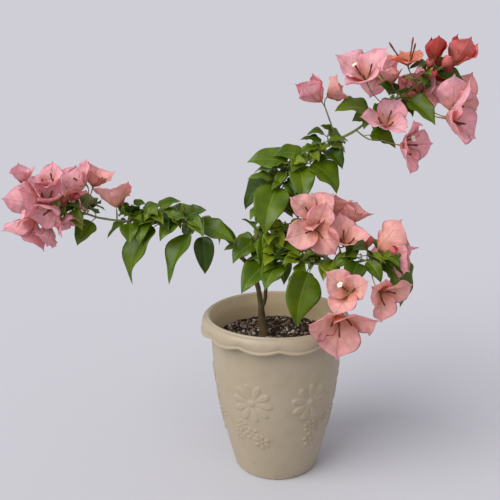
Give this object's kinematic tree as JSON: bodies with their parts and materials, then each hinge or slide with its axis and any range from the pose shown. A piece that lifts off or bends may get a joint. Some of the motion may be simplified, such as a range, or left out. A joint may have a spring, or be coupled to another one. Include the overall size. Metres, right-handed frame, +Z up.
{
  "type": "potted bougainvillea",
  "caption": "Young bougainvillea bush in flower, spreading on three slender boughs from a short trunk, planted in a tapered plastic pot with a lobed collar.",
  "frame": {"origin": "middle of the pot's flat underside", "axes": "+Z up out of the pot, -Y towards the side the plant shows best, +X along the upper blossom bough"},
  "size_m": [0.564, 0.2216, 0.5196],
  "materials": {
    "pot_plastic": "satin moulded plastic, beige",
    "potting_soil": "dark crumbly potting mix",
    "bark": "grey-brown bark, lightly ridged",
    "green_shoot": "smooth green shoot",
    "leaf": "waxy green leaf, paler and yellower when young",
    "bract": "papery salmon pink bract"
  },
  "bodies": {
    "root": {"pot": "pot_plastic", "soil": "potting_soil", "trunk": "bark", "left_stem": "bark", "right_stem": "bark", "left_bough": "bark", "upper_bough": "bark", "left_shoot": "green_shoot", "upper_shoot": "green_shoot", "right_shoot": "green_shoot", "left_leaves": "leaf", "crown_leaves": "leaf", "mid_leaves": "leaf", "right_leaves": "leaf", "left_sprig": "bract", "left_blossom": "bract", "upper_sprig": "bract", "low_sprig": "bract", "upper_blossom": "bract", "mid_blossom": "bract", "hanging_sprig": "bract", "right_blossom": "bract"}
  },
  "joints": []
}
